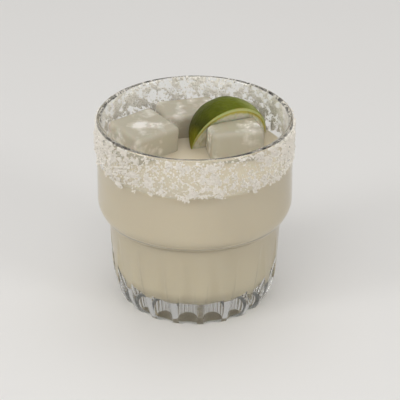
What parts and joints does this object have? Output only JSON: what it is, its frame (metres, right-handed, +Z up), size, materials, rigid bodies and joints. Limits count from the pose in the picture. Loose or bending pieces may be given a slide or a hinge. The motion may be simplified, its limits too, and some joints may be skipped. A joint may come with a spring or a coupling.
{
  "type": "margarita cocktail",
  "caption": "Iced pale cocktail in a fluted stacking rocks glass with a salted rim and a lime wedge; a drink that stands on its foot.",
  "frame": {"origin": "centre of the foot, on the surface that the glass stands on", "axes": "+Z up along the glass's axis, -Y towards the front, +X to the side where the lime wedge leans"},
  "size_m": [0.088, 0.088, 0.0897],
  "materials": {
    "glass": "clear pressed soda-lime glass, fire polished",
    "drink": "cloudy pale yellow-grey liquid with a glossy surface",
    "ice": "wet ice, clear to frosty",
    "lime_peel": "waxy dimpled green peel",
    "lime_flesh": "wet pale green flesh with a pale pith",
    "salt": "coarse white salt grains, damp and clumped"
  },
  "bodies": {
    "root": {"glass": "glass", "drink": "drink", "ice_cube_left": "ice", "ice_cube_right": "ice", "ice_cube_back": "ice", "lime_wedge": "lime_peel"}
  },
  "joints": []
}
